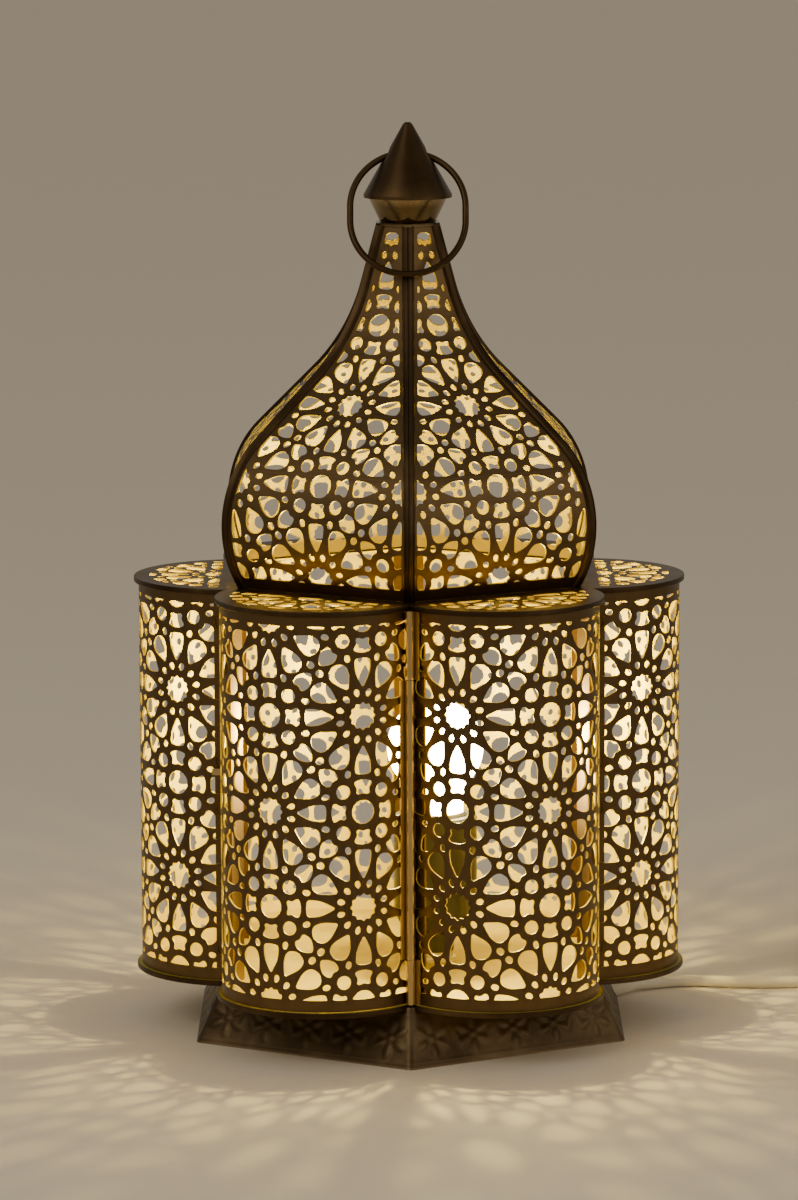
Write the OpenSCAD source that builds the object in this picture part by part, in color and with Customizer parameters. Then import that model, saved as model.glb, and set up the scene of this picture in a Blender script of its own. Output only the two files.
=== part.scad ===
// Moroccan metal lantern: a table lamp of brass sheet. Six rounded lobes stand on a flared
// hexagonal base, and a folded onion dome with a cone finial and a ring handle stands on them.
// Millimetres, +Z up. The origin is the centre of the face that stands on the table.
// Seams and dome ribs lie at 30, 90 ... 330 degrees about Z, and lobes and dome panels between them.

/* [Body] */
// Distance from the axis to the centre of each lobe's round
lobe_offset = 79.2; // [60:0.1:100]
// Outer radius of each lobe
lobe_r = 46.8; // [35:0.1:60]
// Thickness of the sheet metal
sheet = 1.2; // [0.8:0.1:2]
// Height of the lower face of the bottom plate, which is the base's height
base_h = 25.8; // [15:0.1:40]
// Height of the upper face of the top plate
top_z = 210; // [150:1:300]
// How far both plates reach past the lobes
overhang = 2.2; // [1:0.1:5]
// Depth of the plates' folded rims
rim_h = 2.5; // [1.5:0.1:5]

/* [Base] */
// Corner radius of the base where it stands
foot_r = 114.7; // [100:0.1:130]
// Corner radius of the base under the bottom plate
base_top_r = 101; // [90:0.1:120]

/* [Door] */
// Distance from the axis to the hinge pin
hinge_r = 98; // [95:0.1:105]
// Outer radius of the hinge knuckles
knuckle_r = 2.15; // [1.8:0.05:3]
// Height where the door's knuckle starts
knuckle_low = 48; // [35:1:80]
// Height where the door's knuckle ends
knuckle_high = 176; // [120:1:190]
// Height of the middle of the latch tab
latch_z = 125; // [80:1:160]

/* [Dome] */
// Corner radius of the middle of the bulge's arc
bulge_x = 45.5; // [30:0.1:60]
// Height of the middle of the bulge's arc
bulge_z = 238.5; // [230:0.1:250]
// Radius of the bulge's arc
bulge_r = 52; // [40:0.5:70]
// Angle from the vertical of the straight flank above the bulge
flank = 47.7; // [40:0.1:60]
// Length of the straight flank
flank_l = 42; // [20:0.5:60]
// Radius of the hollow arc between the flank and the neck
hollow_r = 90; // [60:1:120]
// Angle from the vertical of the neck
neck_slope = 17; // [8:0.5:25]
// Height of the top of the neck
neck_z = 373; // [350:1:400]
// Width of the ribs that cover the dome's folds
rib_w = 6.5; // [4:0.1:10]

/* [Finial and ring] */
// Height of the whole lantern
total_h = 420; // [350:1:500]
// Height of the finial's rim
finial_z = 385.5; // [380:0.5:395]
// Radius of the finial's rim
finial_r = 20.4; // [15:0.1:28]
// Radius of the wire of the ring
ring_wire_r = 1.5; // [1:0.1:3]
// Radius of the round ends of the ring, at the middle of its wire
ring_r = 26.5; // [20:0.1:35]
// How much longer than a round one the ring is
ring_more = 7.0; // [1:0.1:10]
// Height of the hole that the ring hangs in
ring_z = 404.4; // [400:0.1:412]
// Lean of the ring where it rests against the front rib
ring_lean = 26.5; // [20:0.1:40]

/* [Lamp] */
// How far the lampholder stands to the right of the axis
lamp_x = 12; // [-20:1:20]
// Outer radius of the lampholder
holder_r = 19.5; // [18:0.1:22]
// Height of the lampholder's mouth
holder_z = 96; // [80:1:110]
// Radius of the bulb's glass
bulb_r = 22.5; // [20:0.5:30]
// Height of the middle of the bulb's glass
bulb_z = 128; // [115:1:150]

/* [Lead] */
// Diameter of the mains lead
cord_d = 5.6; // [4:0.1:8]
// Radius of the coil at the middle of its turns
coil_r = 32; // [28:0.5:40]

/* [Hidden] */
$fn = 96;
eps = 0.1;              // overlap of cutting shapes
gap = 0.3;              // clearance between a moving piece and its neighbours
seam_gap = 0.25;        // half of the slit between two panels
joint = 0.02;           // overlap of the two legs of a folded strip
wall_low = base_h + sheet;
wall_high = top_z - sheet;
door_low = wall_low + 0.6;
door_high = top_z - rim_h - 0.6;
strip = 9;              // reach of a seam strip from its seam
seam_r = lobe_offset * cos(30) + sqrt(pow(lobe_r, 2) - pow(lobe_offset / 2, 2));
pin_r = 1.2;
pin_play = 0.05;
dome_sheet = sheet * 1.2;
bulge_low = asin((top_z - bulge_z) / bulge_r);
flank_start = [bulge_x + bulge_r * cos(flank), bulge_z + bulge_r * sin(flank)];
flank_end = flank_start + flank_l * [-sin(flank), cos(flank)];
hollow_c = flank_end + hollow_r * [cos(flank), sin(flank)];
neck_start = hollow_c - hollow_r * [cos(neck_slope), sin(neck_slope)];
neck_r = neck_start[0] - (neck_z - neck_start[1]) * tan(neck_slope);
// corner radius and height along a dome rib, from the top plate to the neck
dome_line = concat(
    [for (i = [0:10]) let (a = bulge_low + (flank - bulge_low) * i / 10)
        [bulge_x + bulge_r * cos(a), bulge_z + bulge_r * sin(a)]],
    [for (i = [0:7]) let (a = flank + (neck_slope - flank) * i / 7)
        hollow_c - hollow_r * [cos(a), sin(a)]],
    [[neck_r, neck_z]]);
ring_play = 1.6;        // from the middle of the wire to the line that the ring swings about
finial_hole_r = 4.0;
tip_r = 2.25;
exit_turn = 41;         // heading of the lead where it leaves the base, from +X to +Y
exit_at = [98, 37, 4.2];
exit_dir = [cos(exit_turn), sin(exit_turn), 0];
grommet_in = 12;
grommet_out = 10;
notch_r = 4.3;
clamp_at = [44, 6];
core_r = 1;
switch_at = [215, 109];
switch_l = 58;
switch_w = 24;
switch_h = 16;
rocker_rest = 8;        // tilt of the rocker when the lamp is on
coil_at = [237, 12];
coil_in = coil_r - 2 * cord_d;   // four turns lie side by side under three
coil_out = coil_r + 2 * cord_d;
coil_low = 0.8;
coil_top = coil_low + 1.86 * cord_d;
plug_y = -54;
plug_x = 276.5;
// the lead on the table, from the base to the switch
lead_route = [[105.5, 43.6, 4.2], [109, 46.6, 3.8], [113, 49.6, 3.2], [119, 53, 2.8],
    [127, 56, 2.8], [136, 57.2, 2.8], [146, 56, 2.8], [156, 53.8, 2.8], [167, 52.8, 2.8],
    [178, 53.2, 2.8], [188, 54, 2.8], [198, 56.4, 2.8], [206.4, 61.8, 3], [211.8, 68.8, 4],
    [214.4, 75, 5.6], [215, 80, 6.6]];
// from the switch to the coil
tail_route = [[215, 138, 6.6], [215.4, 143, 5.6], [218, 150, 4], [224, 157.6, 3],
    [233, 162.4, 2.8], [243, 163.6, 2.8], [253, 160.8, 2.8], [262, 154, 2.8], [268.6, 145, 2.8],
    [273, 134, 2.8], [275.6, 121, 2.8], [277, 107, 2.8], [277.6, 92, 2.8], [277.8, 77, 2.8],
    [277.8, 62, 3], [277.6, 48, 3.4], [277.4, 34, 3.6]];
// from the coil to the plug
end_route = [[275.6, 5, 8.4], [277, -4, 7.6], [277.4, -13, 6.9], [277, -24, 6.8], [276.6, -32, 6.8],
    [276.5, -36, 6.8]];
// inside the base, from the wall to the clamp
inside_route = [[88.9, 29.1, 4.2], [85, 25.8, 4.8], [80, 21.8, 7], [74, 17.4, 10.6],
    [68, 13.6, 14.4], [62, 10.4, 17.4], [57, 8, 18.8], [52, 6.4, 19]];
// the two cores, from the clamp up into the lampholder
core_route = [[36, 6, 19], [30, 5, 18.6], [24, 3, 17], [18.4, 1.2, 15.6], [14.4, 0.4, 17],
    [12.4, 0, 21], [12, 0, 27], [12, 0, 40], [12, 0, 54], [12, 0, 62]];

// ---- helpers ----

module brass() color([0.42, 0.29, 0.13]) children();
module bright_brass() color([0.72, 0.58, 0.3]) children();
module steel() color([0.62, 0.62, 0.6]) children();
module black() color([0.1, 0.1, 0.1]) children();
module cream() color([0.87, 0.82, 0.7]) children();

// a hexagon with corners at 30, 90 ... degrees
module hexagon(r) rotate(30) circle(r, $fn = 6);

// the outline of the six lobes, grown by more
module lobes(more) {
    for (a = [0:60:300]) rotate(a) translate([lobe_offset, 0]) circle(lobe_r + more);
    hexagon(seam_r);
}

// the 60 degree sector of one lobe, less the slits on its two sides
module sector(inset, reach = 160)
    polygon([[inset / sin(30), 0], [reach, reach * tan(30) - inset / cos(30)],
        [reach, -reach * tan(30) + inset / cos(30)]]);

// the outer half of a ring round the middle of the lobe along +X
module half_round(outer, inner) translate([lobe_offset, 0]) intersection() {
    difference() {
        circle(outer);
        circle(inner);
    }
    translate([-2, -outer - 1]) square([outer + 4, 2 * outer + 2]);
}

module lobe(azimuth, low, high) rotate(azimuth) translate([0, 0, low])
    linear_extrude(high - low) intersection() {
        half_round(lobe_r, lobe_r - sheet);
        sector(seam_gap);
    }

// one leg of a seam strip: it lies inside the lobe at azimuth, beside the seam at seam_azimuth
module seam_leg(azimuth, seam_azimuth) translate([0, 0, wall_low])
    linear_extrude(wall_high - wall_low) intersection() {
        rotate(azimuth) intersection() {
            half_round(lobe_r - sheet - 0.05, lobe_r - 2 * sheet);
            sector(-joint);
        }
        rotate(seam_azimuth) translate([seam_r, 0]) circle(strip);
    }

module seam_strip(azimuth) brass() for (side = [-30, 30]) seam_leg(azimuth + side, azimuth);

// a band of sheet along the dome line, between two distances outside it, across one face
module dome_band(azimuth, inner, outer) rotate(azimuth) rotate([90, 0, 0])
    linear_extrude(2 * foot_r, center = true)
        polygon(concat([for (p = dome_line) [p[0] * cos(30) + outer, p[1]]],
            [for (i = [len(dome_line) - 1:-1:0])
                [dome_line[i][0] * cos(30) + inner, dome_line[i][1]]]));

module wedge(azimuth, inset) rotate(azimuth) translate([0, 0, top_z - 1])
    linear_extrude(neck_z - top_z + 2) sector(inset);

module dome_panel(azimuth) brass() intersection() {
    dome_band(azimuth, -dome_sheet, 0);
    wedge(azimuth, 0);
}

// a strip folded along its middle, which covers the fold between two dome panels
module dome_rib(azimuth) brass() intersection() {
    union() for (side = [-30, 30]) intersection() {
        dome_band(azimuth + side, 0, dome_sheet);
        wedge(azimuth + side, -joint);
    }
    rotate(azimuth) translate([0, -rib_w / 2, top_z])
        cube([foot_r, rib_w, neck_z - top_z]);
}

// a tube along a route of points: a ring of sides round every point, square to the route
function unit(v) = v / norm(v);
function heading(path, i) = unit(path[min(i + 1, len(path) - 1)] - path[max(i - 1, 0)]);
function level(d) = abs(d[2]) > 0.98 ? [0, 1, 0] : unit(cross([0, 0, 1], d));
function ring_of(at, d, r, sides) = let (u = level(d), v = cross(d, u))
    [for (k = [0:sides - 1]) at + r * (cos(360 * k / sides) * u + sin(360 * k / sides) * v)];
module tube(path, r, sides = 10) {
    n = len(path);
    polyhedron(
        points = [for (i = [0:n - 1]) each ring_of(path[i], heading(path, i), r, sides)],
        faces = concat(
            [[for (k = [0:sides - 1]) k]],
            [for (i = [0:n - 2]) for (k = [0:sides - 1]) let (m = (k + 1) % sides)
                [i * sides + k, (i + 1) * sides + k, (i + 1) * sides + m, i * sides + m]],
            [[for (k = [sides - 1:-1:0]) (n - 1) * sides + k]]));
}

// ---- base ----

module exit_axis(from, to, r1, r2) translate(exit_at + from * exit_dir)
    rotate([0, 90, exit_turn]) cylinder(h = to - from, r1 = r1, r2 = r2);

// the notch that the lead and its grommet pass through, round at the top and open to the table
module exit_notch() translate(exit_at - (grommet_in + 12) * exit_dir) rotate([90, 0, 90 + exit_turn])
    linear_extrude(grommet_in + grommet_out + 16)
        polygon(concat([for (a = [0:15:180]) notch_r * [cos(a), sin(a)]],
            [[-notch_r, -exit_at[2] - 1], [notch_r, -exit_at[2] - 1]]));

module base_shell() brass() difference() {
    union() {
        difference() {
            rotate(30) cylinder(h = base_h, r1 = foot_r, r2 = base_top_r, $fn = 6);
            translate([0, 0, -eps]) rotate(30)
                cylinder(h = base_h + 2 * eps, r1 = foot_r - 1.8, r2 = base_top_r - 1.8, $fn = 6);
        }
        linear_extrude(sheet) difference() {
            hexagon(foot_r - 1.2);
            hexagon(foot_r - 9);
        }
    }
    exit_notch();
}

module base_cover() brass() difference() {
    translate([0, 0, 2]) linear_extrude(sheet) hexagon(foot_r - 4.2);
    exit_notch();
    for (a = [120, 240, 0]) rotate(a) translate([86, a == 0 ? -20 : 0, 0]) cylinder(h = 8, r = 1.8);
}

module on_brackets() for (a = [120, 240, 0]) rotate(a) translate([86, a == 0 ? -20 : 0, 0])
    children();

// from a bracket's screw to just short of the base's inner face at height z
function to_wall(z) = (foot_r - 1.8 - (foot_r - base_top_r) * z / base_h) * cos(30) - 86.05;

module cover_brackets() steel() on_brackets() difference() {
    low = 2 + sheet;
    high = low + 6;
    rotate([90, 0, 0]) linear_extrude(12, center = true) polygon([[-6, low],
        [to_wall(low), low], [to_wall(high), high], [to_wall(high) - 1.4, high],
        [to_wall(low + 1.5) - 1.4, low + 1.5], [-6, low + 1.5]]);
    cylinder(h = 8, r = 1.55);
}

module cover_screws() steel() on_brackets() {
    translate([0, 0, 0.4]) cylinder(h = 1.55, r = 3);
    translate([0, 0, 1.9]) cylinder(h = 6, r = 1.5);
}

module bottom_plate() brass() difference() {
    union() {
        translate([0, 0, base_h]) linear_extrude(sheet) lobes(overhang);
        translate([0, 0, wall_low - rim_h]) linear_extrude(rim_h) difference() {
            lobes(overhang);
            lobes(overhang - 1);
            hexagon(base_top_r + 1.2);
        }
    }
    translate([lamp_x, 0, base_h - eps]) cylinder(h = sheet + 2 * eps, r = 5.1);
}

// ---- lobes, seams and door ----

module lobe_front_right() brass() lobe(300, wall_low, wall_high);
module lobe_right() brass() lobe(0, wall_low, wall_high);
module lobe_rear_right() brass() lobe(60, wall_low, wall_high);
module lobe_rear_left() brass() lobe(120, wall_low, wall_high);
module lobe_left() brass() lobe(180, wall_low, wall_high);
module door_panel() brass() lobe(240, door_low, door_high);

module seam_front() brass() seam_leg(300, 270);
module seam_front_right() seam_strip(330);
module seam_rear_right() seam_strip(30);
module seam_rear() seam_strip(90);
module seam_rear_left() seam_strip(150);
// the strip that the door closes against: its leg behind the door keeps clear of it
module seam_front_left() brass() {
    seam_leg(180, 210);
    translate([0, 0, wall_low]) linear_extrude(wall_high - wall_low) intersection() {
        rotate(240) intersection() {
            half_round(lobe_r - sheet - gap, lobe_r - 2 * sheet - gap);
            sector(0);
        }
        rotate(210) translate([seam_r, 0]) circle(strip);
    }
}

// a hinge knuckle with a leaf that lies on the outside of the lobe at azimuth
module knuckle(azimuth, low, high) bright_brass() translate([0, 0, low])
    linear_extrude(high - low) difference() {
        union() {
            translate([0, -hinge_r]) circle(knuckle_r);
            intersection() {
                rotate(azimuth) intersection() {
                    half_round(lobe_r + 0.9, lobe_r + 0.03);
                    sector(0.4);
                }
                translate([0, -hinge_r]) circle(5);
            }
        }
        translate([0, -hinge_r]) circle(pin_r + pin_play);
    }

module hinge_knuckles() {
    knuckle(300, wall_low, knuckle_low - gap);
    knuckle(300, knuckle_high + gap, top_z - rim_h);
}

module door_knuckle() knuckle(240, knuckle_low, knuckle_high);

module hinge_pin() steel() translate([0, -hinge_r, wall_low + 0.5])
    cylinder(h = top_z - rim_h - wall_low - 1, r = pin_r);

// a bent tab on the door's free edge that laps over the lobe beside it
module door_latch() bright_brass() translate([0, 0, latch_z - 1.5]) linear_extrude(3) union() {
    intersection() {
        rotate(240) intersection() {
            half_round(lobe_r + 1, lobe_r + 0.03);
            sector(-joint);
        }
        rotate(210) translate([seam_r, 0]) circle(9);
    }
    intersection() {
        rotate(180) intersection() {
            half_round(lobe_r + 1.4, lobe_r + 0.5);
            sector(-joint);
        }
        rotate(210) translate([seam_r, 0]) circle(10);
    }
}

module top_plate() brass() difference() {
    union() {
        translate([0, 0, top_z - sheet]) linear_extrude(sheet) lobes(overhang);
        translate([0, 0, top_z - rim_h]) linear_extrude(rim_h) difference() {
            lobes(overhang);
            lobes(overhang - 1);
        }
    }
    translate([0, 0, top_z - sheet - eps]) linear_extrude(sheet + 2 * eps) hexagon(84);
}

// ---- dome ----

module dome_front_right() dome_panel(300);
module dome_right() dome_panel(0);
module dome_rear_right() dome_panel(60);
module dome_rear_left() dome_panel(120);
module dome_left() dome_panel(180);
module dome_front_left() dome_panel(240);
module rib_front() dome_rib(270);
module rib_front_right() dome_rib(330);
module rib_rear_right() dome_rib(30);
module rib_rear() dome_rib(90);
module rib_rear_left() dome_rib(150);
module rib_front_left() dome_rib(210);

module neck_collar() bright_brass() {
    translate([0, 0, neck_z]) linear_extrude(sheet) hexagon(neck_r + 1);
    rotate_extrude() polygon([[0, neck_z + sheet], [12.8, neck_z + sheet], [18.2, finial_z],
        [16.4, finial_z], [11.4, neck_z + 2 * sheet], [0, neck_z + 2 * sheet]]);
}

module finial_cone() brass() difference() {
    rotate_extrude() polygon([[0, finial_z], [finial_r, finial_z], [finial_r, finial_z + 1.5],
        [tip_r, total_h - 1], [tip_r - 1, total_h], [0, total_h], [0, total_h - 6],
        [finial_r - 3.4, finial_z + 1.4], [0, finial_z + 1.4]]);
    translate([-finial_r, 0, ring_z]) rotate([0, 90, 0])
        cylinder(h = 2 * finial_r, r = finial_hole_r);
}

module half_ring() rotate_extrude(angle = 180) translate([ring_r, 0]) circle(ring_wire_r, $fn = 32);

module ring_handle() brass() translate([0, 0, ring_z]) rotate([-ring_lean, 0, 0])
    translate([0, 0, ring_play]) rotate([90, 0, 0]) {
        translate([0, -ring_r, 0]) half_ring();
        translate([0, -ring_r - ring_more, 0]) rotate(180) half_ring();
        for (x = [-ring_r, ring_r]) translate([x, joint - ring_r, 0]) rotate([90, 0, 0])
            cylinder(h = ring_more + 2 * joint, r = ring_wire_r, $fn = 32);
    }

// ---- lamp ----

module at_lamp() translate([lamp_x, 0, 0]) children();

module threaded_tube() steel() at_lamp() translate([0, 0, 18]) difference() {
    cylinder(h = 25, r = 5);
    translate([0, 0, -eps]) cylinder(h = 26, r = 3.6);
}

module lock_nuts() steel() at_lamp() for (z = [base_h - 3, wall_low + 1.2]) translate([0, 0, z])
    difference() {
        cylinder(h = 3, r = 8, $fn = 6);
        translate([0, 0, -eps]) cylinder(h = 3.2, r = 5.05);
    }

module tube_washer() steel() at_lamp() translate([0, 0, wall_low]) difference() {
    cylinder(h = 1.2, r = 9.5);
    translate([0, 0, -eps]) cylinder(h = 1.4, r = 5.2);
}

module lampholder_cap() black() at_lamp() rotate_extrude() polygon([[5.05, 31.2], [8.5, 31.2],
    [8.5, 40], [16.5, 43.5], [holder_r, 50], [holder_r, 62], [holder_r - 2, 62],
    [holder_r - 2, 50.6], [15.4, 45.4], [7, 43.4], [5.05, 43.4]]);

module lampholder_body() black() at_lamp() rotate_extrude() polygon([[15.2, 62], [holder_r, 62],
    [holder_r, holder_z - 1], [holder_r - 1, holder_z], [15.2, holder_z]]);

// the insulating floor that carries the screw shell and the contacts
module lampholder_insert() color([0.85, 0.83, 0.78]) at_lamp() rotate_extrude() polygon([[0, 62],
    [15.1, 62], [15.1, 92], [14.2, 92], [14.2, 69], [0, 69]]);

module bulb_cap() steel() at_lamp() rotate_extrude() polygon([[0, 69.2], [4.5, 69.2], [5, 71.5],
    [11.5, 75], [13.2, 77], [13.2, holder_z + 1.6], [12.3, holder_z + 1.6], [12.3, 77.4],
    [10.9, 76], [0, 76]]);

module bulb_glass() color([1, 0.9, 0.6, 0.5]) at_lamp() rotate_extrude() {
    neck = [13, holder_z + 1.7];
    foot = -acos(neck[0] / bulb_r);
    arc = [for (i = [0:24]) let (a = foot + (90 - foot) * i / 24) [cos(a), sin(a)]];
    polygon(concat([neck], [for (p = arc) [max(0, bulb_r * p[0]), bulb_z + bulb_r * p[1]]],
        [for (i = [24:-1:0]) [max(0, (bulb_r - 0.9) * arc[i][0]), bulb_z + (bulb_r - 0.9) * arc[i][1]]],
        [[neck[0] - 0.9, neck[1]]]));
}

module bulb_filament() color([1, 0.8, 0.4]) at_lamp() {
    translate([0, 0, 76.1]) cylinder(h = 36, r = 3.5);
    for (side = [-1, 1]) translate([side * 2, 0, 112]) rotate([0, side * 22, 0])
        cylinder(h = 15, r = 0.4, $fn = 24);
    translate([-7.9, 0, 125.6]) rotate([0, 90, 0]) cylinder(h = 15.8, r = 0.6, $fn = 24);
}

// ---- lead inside the base ----

module cord_grommet() cream() {
    exit_axis(-grommet_in, eps, 4.1, 4.1);
    exit_axis(0, grommet_out, 4.1, 3.3);
}

module lead_inside() cream() tube(inside_route, cord_d / 2);

module cord_clamp() black() translate([clamp_at[0], clamp_at[1], 0]) difference() {
    translate([-8, -11, 13.5]) cube([16, 22, base_h - 13.5]);
    for (side = [-8, 8]) translate([0, side, 12]) cylinder(h = 20, r = 1.6);
    translate([-9, 0, 19]) rotate([0, 90, 0]) cylinder(h = 18, r = cord_d / 2 + 0.05);
}

module clamp_screws() steel() translate([clamp_at[0], clamp_at[1], 0]) for (side = [-8, 8])
    translate([0, side, 0]) {
        translate([0, 0, 11.5]) cylinder(h = 2, r = 2.8);
        translate([0, 0, 13.4]) cylinder(h = base_h - 13.5, r = 1.5);
    }

module lead_cores() color([0.3, 0.4, 0.6]) for (side = [-1, 1])
    tube([for (p = core_route) p + [0, side * 1.2, 0]], core_r, 8);

// ---- lead on the table ----

module cord_lead() cream() tube(lead_route, cord_d / 2);
module cord_tail() cream() tube(tail_route, cord_d / 2);
module cord_end() cream() tube(end_route, cord_d / 2);

module rounded_bar(l, w, h, r) linear_extrude(h) union() {
    square([w - 2 * r, l], center = true);
    square([w, l - 2 * r], center = true);
    for (x = [-1, 1]) for (y = [-1, 1]) translate([x * (w / 2 - r), y * (l / 2 - r)]) circle(r);
}

module switch_housing() cream() translate([switch_at[0], switch_at[1], 0]) difference() {
    union() {
        rounded_bar(switch_l - 4, switch_w, switch_h - 2, 9);
        rounded_bar(switch_l - 10, switch_w - 6, switch_h, 6);
        translate([0, switch_l / 2, 6.6]) rotate([90, 0, 0]) cylinder(h = switch_l, r = 4.4);
    }
    translate([-5.5, -11, 4]) cube([11, 22, switch_h]);
    translate([0, 0, switch_h - 3]) rotate([0, 90, 0]) cylinder(h = 14.4, r = 1.6, center = true);
}

module switch_rocker() black() translate([switch_at[0], switch_at[1], switch_h - 3])
    rotate([rocker_rest, 0, 0]) rotate([0, 90, 0]) rotate(90) {
        linear_extrude(10.2, center = true)
            polygon([[-9.3, 1.6], [-9.3, 4.4], [0, 3], [9.3, 4.4], [9.3, 1.6], [3, -4], [-3, -4]]);
        cylinder(h = 14, r = 1.5, center = true);
    }

module cord_coil() cream() translate([coil_at[0], coil_at[1], 0]) rotate_extrude()
    polygon([[coil_in, coil_low], [coil_out, coil_low], [coil_out, coil_low + cord_d],
        [coil_out - cord_d / 2, coil_top], [coil_in + cord_d / 2, coil_top],
        [coil_in, coil_low + cord_d]]);

module cord_tie() black() translate([coil_at[0], coil_at[1], 0]) rotate([90, 0, 225])
    linear_extrude(8, center = true) difference() {
        translate([coil_in - 1.2, 0.05]) square([4 * cord_d + 2.2, coil_top + 0.7]);
        translate([coil_in - 0.5, 0.7]) square([4 * cord_d + 0.8, coil_top - 0.65]);
    }

// a flat two-pin plug that lies on its broad side, its pins towards -Y
module plug_body() cream() translate([plug_x, plug_y, 6.85]) {
    rotate([90, 0, 0]) linear_extrude(22) union() {
        square([35.4 - 13.7, 13.7], center = true);
        for (x = [-1, 1]) translate([x * (35.4 - 13.7) / 2, 0]) circle(13.7 / 2);
    }
    hull() {
        translate([0, -0.01, 0]) rotate([90, 0, 0]) linear_extrude(0.01)
            square([26, 12], center = true);
        translate([0, 9, 0]) rotate([90, 0, 0]) cylinder(h = 0.1, r = 4.4, $fn = 32);
    }
    translate([0, 18, 0]) rotate([90, 0, 0]) cylinder(h = 9, r1 = 3.3, r2 = 4.4);
}

module plug_pins() steel() translate([plug_x, plug_y - 22, 6.85]) for (x = [-9, 9])
    translate([x, 0, 0]) rotate([90, 0, 0]) {
        cylinder(h = 17, r = 2);
        translate([0, 0, 17]) cylinder(h = 1.6, r1 = 2, r2 = 1);
    }

base_shell();
base_cover();
cover_brackets();
cover_screws();
bottom_plate();
lobe_front_right();
lobe_right();
lobe_rear_right();
lobe_rear_left();
lobe_left();
door_panel();
door_knuckle();
door_latch();
hinge_knuckles();
hinge_pin();
seam_front();
seam_front_right();
seam_rear_right();
seam_rear();
seam_rear_left();
seam_front_left();
top_plate();
dome_front_right();
dome_right();
dome_rear_right();
dome_rear_left();
dome_left();
dome_front_left();
rib_front();
rib_front_right();
rib_rear_right();
rib_rear();
rib_rear_left();
rib_front_left();
neck_collar();
finial_cone();
ring_handle();
threaded_tube();
lock_nuts();
tube_washer();
lampholder_cap();
lampholder_body();
lampholder_insert();
bulb_cap();
bulb_glass();
bulb_filament();
cord_grommet();
lead_inside();
cord_clamp();
clamp_screws();
lead_cores();
cord_lead();
switch_housing();
switch_rocker();
cord_tail();
cord_coil();
cord_tie();
cord_end();
plug_body();
plug_pins();
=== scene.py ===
"""Moroccan metal lantern: a pierced brass table lamp with six lobes, a flared base and an onion dome."""
import math

import bpy
import numpy as np
from mathutils import Matrix, Vector
from mathutils.geometry import delaunay_2d_cdt


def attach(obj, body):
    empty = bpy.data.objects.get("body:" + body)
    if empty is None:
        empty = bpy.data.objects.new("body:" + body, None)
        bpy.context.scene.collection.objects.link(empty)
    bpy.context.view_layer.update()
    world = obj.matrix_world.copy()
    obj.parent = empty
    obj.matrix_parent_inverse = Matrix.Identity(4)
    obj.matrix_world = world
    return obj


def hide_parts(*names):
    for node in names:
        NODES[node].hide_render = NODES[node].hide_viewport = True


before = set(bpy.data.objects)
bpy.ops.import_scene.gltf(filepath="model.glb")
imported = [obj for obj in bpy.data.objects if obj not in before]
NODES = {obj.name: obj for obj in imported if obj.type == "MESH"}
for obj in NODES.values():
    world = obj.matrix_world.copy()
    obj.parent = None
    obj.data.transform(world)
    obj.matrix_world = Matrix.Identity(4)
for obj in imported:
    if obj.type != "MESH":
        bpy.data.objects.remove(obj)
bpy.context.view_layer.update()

MM = 0.001
COS30, TAN30 = math.cos(math.radians(30)), math.tan(math.radians(30))

# ---- sizes, in millimetres, as in the CAD part ----
LOBE_OFFSET = 79.2  # from the axis to the middle of a lobe's round
LOBE_R = 46.8
SHEET = 0.8
WALL_LOW, WALL_HIGH = 27.0, 208.8
DOOR_LOW, DOOR_HIGH = 27.2, 207.2
TOP_Z = 210.0
OVERHANG = 2.2
RIM_H = 2.5
BASE_H = 25.8
FOOT_R, BASE_TOP_R = 114.7, 101.0
BULGE_X, BULGE_Z, BULGE_R = 45.5, 238.5, 52.0
FLANK, FLANK_L = math.radians(47.7), 42.0
HOLLOW_R, NECK_SLOPE, NECK_Z = 90.0, math.radians(17), 373.0
RIB_W = 6.5
LAMP_X, BULB_R, BULB_Z = 12.0, 22.5, 128.0
CORD_D = 5.6
COIL_AT, COIL_R, COIL_LOW = (237.0, 12.0), 32.0, 0.8


# ---- small helpers ----


def link(obj):
    bpy.context.scene.collection.objects.link(obj)
    return obj


def polar(r, degrees):
    a = math.radians(degrees)
    return np.array([r * math.cos(a), r * math.sin(a)])


def turn(points, degrees):
    """Points turned about the Z axis."""
    a = math.radians(degrees)
    p = np.array(points, float)
    out = p.copy()
    out[:, 0] = p[:, 0] * math.cos(a) - p[:, 1] * math.sin(a)
    out[:, 1] = p[:, 0] * math.sin(a) + p[:, 1] * math.cos(a)
    return out


def mesh_object(name, points, faces, material, body="lantern", smooth_below=35, inner=None, inner_from=0):
    """A mesh of points in millimetres, riding on a body, smooth except at edges sharper than smooth_below.
    Faces from number inner_from on take the inner material, if there is one."""
    mesh = bpy.data.meshes.new(name)
    mesh.from_pydata((np.array(points, float) * MM).tolist(), [], faces)
    if inner:
        mesh.polygons.foreach_set("material_index", [int(i >= inner_from) for i in range(len(faces))])
    mesh.validate()
    mesh.shade_smooth()
    mesh.set_sharp_from_angle(angle=math.radians(smooth_below))
    mesh.materials.append(material)
    if inner:
        mesh.materials.append(inner)
    obj = link(bpy.data.objects.new(name, mesh))
    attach(obj, body)
    return obj


# ---- camera ----

CAMERA_LENS = 167.3
CAMERA_DISTANCE = 2.6
CAMERA_PITCH = math.radians(8.7)
CAMERA_ROLL = math.radians(-0.2)
CAMERA_AIM = Vector((-4.7, 0, 197.5)) * MM


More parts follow.
